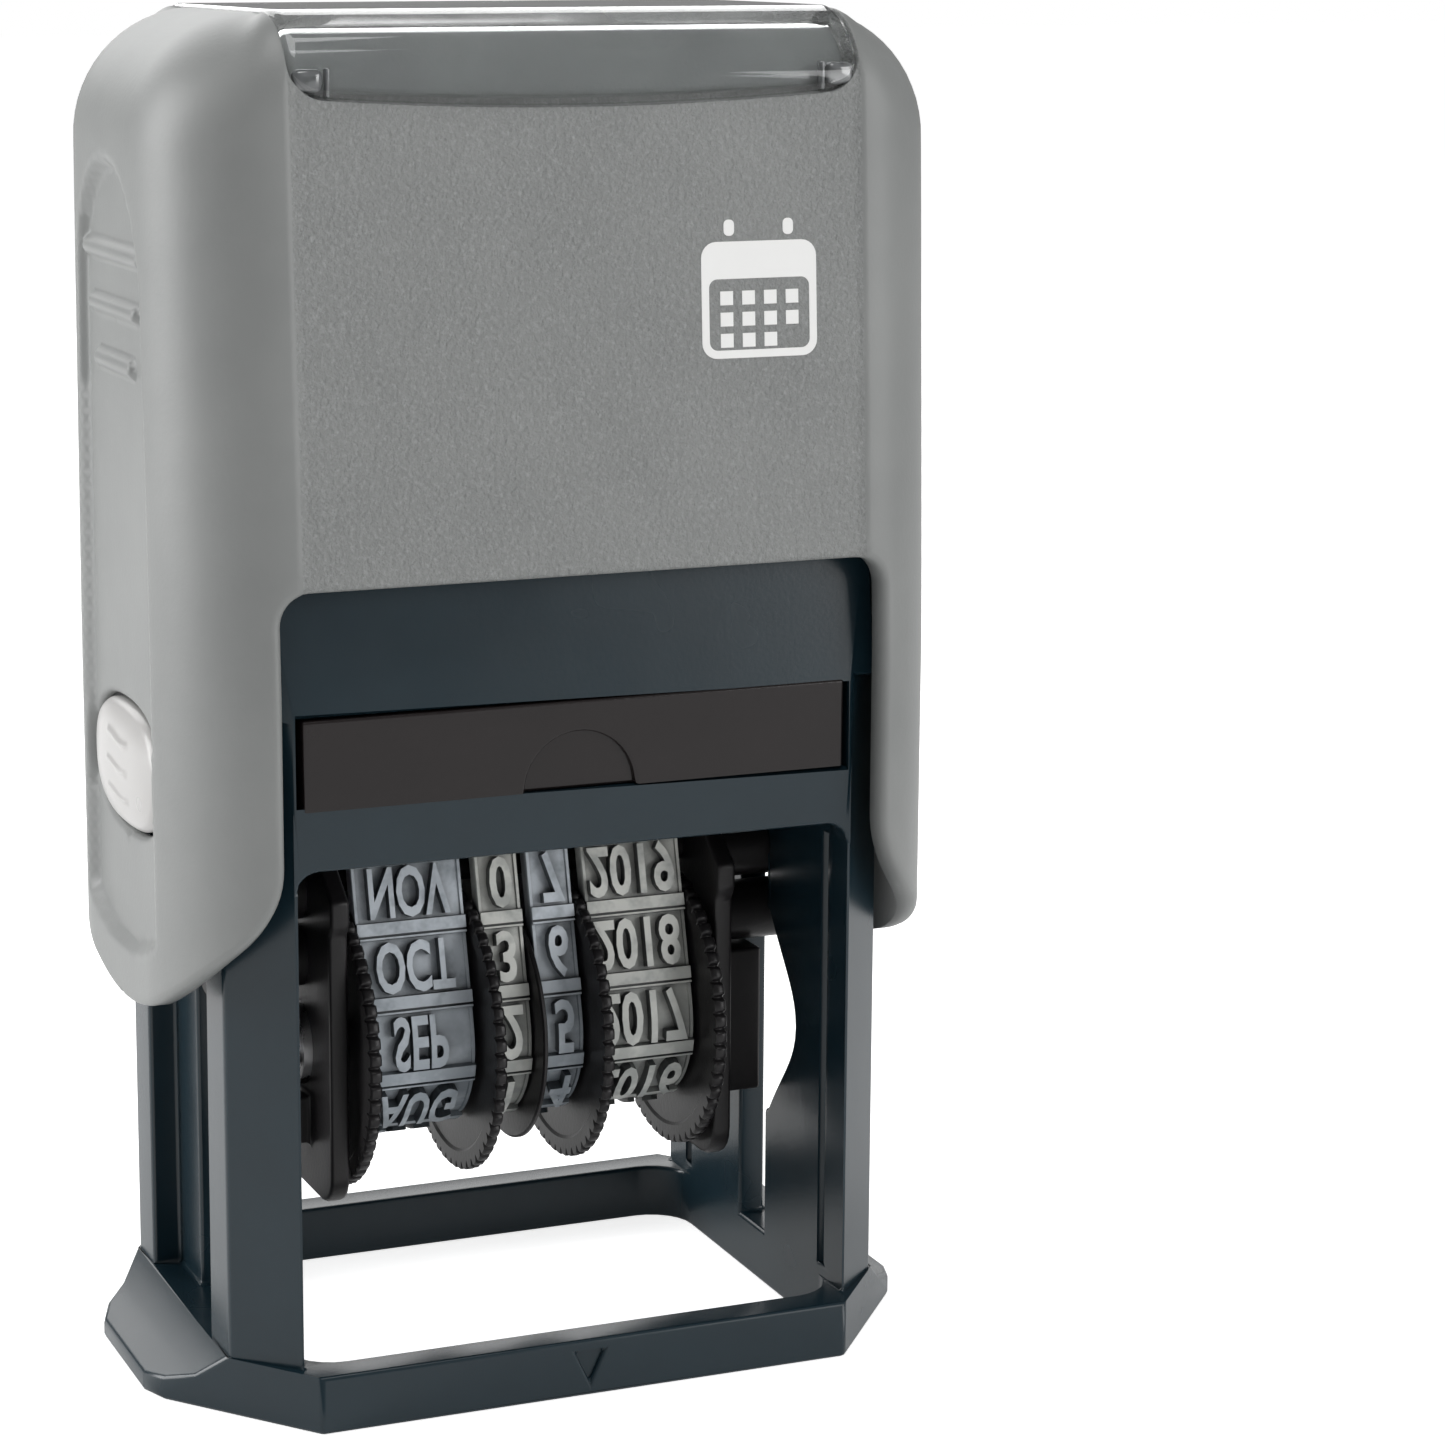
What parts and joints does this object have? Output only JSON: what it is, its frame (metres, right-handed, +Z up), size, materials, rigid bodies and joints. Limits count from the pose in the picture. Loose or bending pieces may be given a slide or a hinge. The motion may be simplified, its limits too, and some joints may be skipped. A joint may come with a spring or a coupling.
{
  "type": "rotary date stamp",
  "caption": "Self-inking date stamp: a sprung cover over a windowed frame turns a carriage of rubber date bands from its ink pad down onto the paper.",
  "frame": {"origin": "centre of the base ring's footprint, on the paper", "axes": "+X to the stamp's right as its front is seen, -Y to the front where the pad drawer opens, +Z up along the cover's travel"},
  "size_m": [0.053, 0.034, 0.088],
  "materials": {
    "frame_blue": "semi-gloss moulded, dark blue-teal",
    "drawer_black": "glossy moulded, brown-black, lightly scratched",
    "ink_felt": "felt soaked with dark ink",
    "cover_grey": "fine spark-eroded texture on the panels, satin on the side lobes",
    "inner_grey": "plain moulded",
    "steel": "drawn wire",
    "card": "plain grey card, no print",
    "clear_plastic": "clear polished",
    "button_white": "off-white, smooth",
    "black_plastic": "satin moulded black",
    "band_blue_grey": "moulded rubber stained with old ink",
    "band_ivory_grey": "moulded rubber stained with old ink"
  },
  "bodies": {
    "frame": {"frame": "frame_blue", "return_spring_left": "steel", "return_spring_right": "steel"},
    "pad": {"pad_drawer": "drawer_black", "ink_pad": "ink_felt"},
    "cover": {"cover": "cover_grey", "yoke_left": "inner_grey", "yoke_right": "inner_grey", "spring_guide_left": "inner_grey", "spring_guide_right": "inner_grey", "index_card": "card"},
    "window": {"index_window": "clear_plastic"},
    "button_left": {"lock_button_left": "button_white"},
    "button_right": {"lock_button_right": "button_white"},
    "carriage": {"carriage_plate_left": "black_plastic", "carriage_plate_right": "black_plastic", "axle_journal_left": "black_plastic", "axle_journal_right": "black_plastic", "cam_pin_left": "black_plastic", "cam_pin_right": "black_plastic", "platen": "black_plastic", "tie_bar": "black_plastic", "wheel_shaft": "steel", "shaft_clip_left": "steel", "shaft_clip_right": "steel", "divider_disc": "black_plastic", "month_band": "band_blue_grey", "tens_band": "band_ivory_grey", "units_band": "band_blue_grey", "year_band": "band_ivory_grey"},
    "month_wheel": {"month_wheel": "black_plastic"},
    "tens_wheel": {"tens_wheel": "black_plastic"},
    "units_wheel": {"units_wheel": "black_plastic"},
    "year_wheel": {"year_wheel": "black_plastic"}
  },
  "joints": [
    {"name": "cover_travel", "type": "slide", "parent": "frame", "child": "cover", "axis": [0, 0, 1], "range_m": [-0.0224, 0], "stiffness_N_per_m": 350, "springref_m": 0.012, "deforming": ["return_spring_left", "return_spring_right"]},
    {"name": "carriage_flip", "type": "hinge", "parent": "cover", "child": "carriage", "pos_m": [0, 0, 0.031], "axis": [1, 0, 0], "range_deg": [-180, 0]},
    {"name": "pad_pull", "type": "slide", "parent": "frame", "child": "pad", "axis": [0, -1, 0], "range_m": [0, 0.028]},
    {"name": "month_set", "type": "hinge", "parent": "carriage", "child": "month_wheel", "pos_m": [-0.012, 0, 0.0206], "axis": [1, 0, 0], "continuous": true},
    {"name": "tens_set", "type": "hinge", "parent": "carriage", "child": "tens_wheel", "pos_m": [-0.00345, 0, 0.0206], "axis": [1, 0, 0], "continuous": true},
    {"name": "units_set", "type": "hinge", "parent": "carriage", "child": "units_wheel", "pos_m": [0.00405, 0, 0.0206], "axis": [1, 0, 0], "continuous": true},
    {"name": "year_set", "type": "hinge", "parent": "carriage", "child": "year_wheel", "pos_m": [0.012, 0, 0.0206], "axis": [1, 0, 0], "continuous": true},
    {"name": "lock_left_press", "type": "slide", "parent": "cover", "child": "button_left", "axis": [1, 0, 0], "range_m": [0, 0.0009], "stiffness_N_per_m": 1500, "springref_m": -0.0003},
    {"name": "lock_right_press", "type": "slide", "parent": "cover", "child": "button_right", "axis": [-1, 0, 0], "range_m": [0, 0.0009], "stiffness_N_per_m": 1500, "springref_m": -0.0003},
    {"name": "window_lift", "type": "slide", "parent": "cover", "child": "window", "axis": [0, 0, 1], "range_m": [0, 0.006]}
  ],
  "couplings": [
    {"joint": "carriage_flip", "follows": "cover_travel", "rad_per_m": 140.25}
  ]
}
